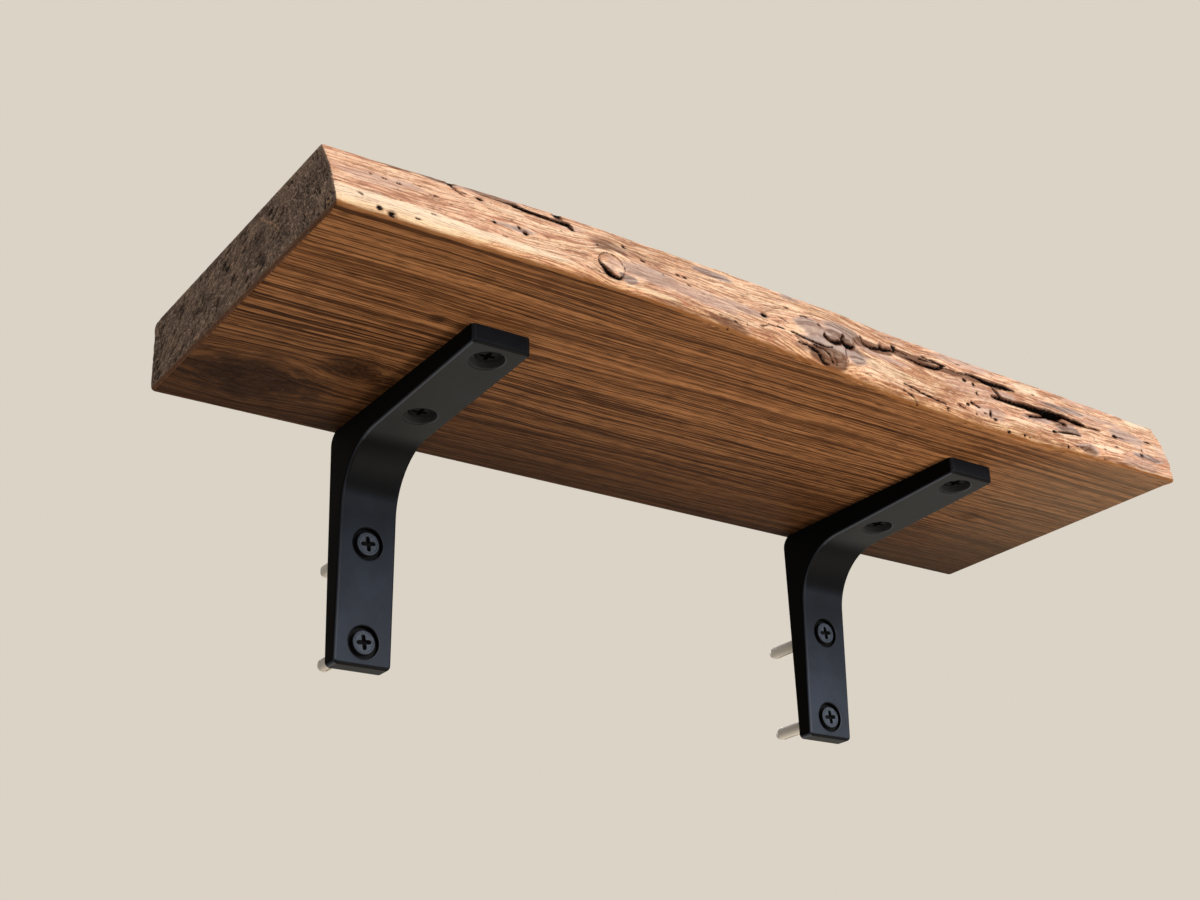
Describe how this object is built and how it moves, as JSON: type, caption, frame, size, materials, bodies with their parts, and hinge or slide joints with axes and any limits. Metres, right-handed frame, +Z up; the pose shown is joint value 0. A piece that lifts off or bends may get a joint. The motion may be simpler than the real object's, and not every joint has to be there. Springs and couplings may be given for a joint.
{
  "type": "live edge wall shelf",
  "caption": "Wall shelf: a thick solid wood slab with a natural live edge, screwed onto curved black steel brackets that are plugged and screwed to a wall.",
  "frame": {"origin": "on the wall plane, at the centre of the four wall fixings", "axes": "+X along the wall to the right as seen from the room, +Y into the wall, +Z up"},
  "size_m": [0.6, 0.2616, 0.179],
  "materials": {
    "slab_wood": "oiled, satin, with dark end grain and weathered cracks along the live edge",
    "bracket_black": "satin black powder coat",
    "screw_black": "satin black coated steel",
    "plug_nylon": "plain moulded nylon"
  },
  "bodies": {
    "root": {"live_edge_slab": "slab_wood", "left_bracket": "bracket_black", "left_wall_screw_upper": "screw_black", "left_wall_plug_upper": "plug_nylon", "left_wall_screw_lower": "screw_black", "left_wall_plug_lower": "plug_nylon", "left_shelf_screw_rear": "screw_black", "left_shelf_screw_front": "screw_black", "right_bracket": "bracket_black", "right_wall_screw_upper": "screw_black", "right_wall_plug_upper": "plug_nylon", "right_wall_screw_lower": "screw_black", "right_wall_plug_lower": "plug_nylon", "right_shelf_screw_rear": "screw_black", "right_shelf_screw_front": "screw_black"}
  },
  "joints": []
}
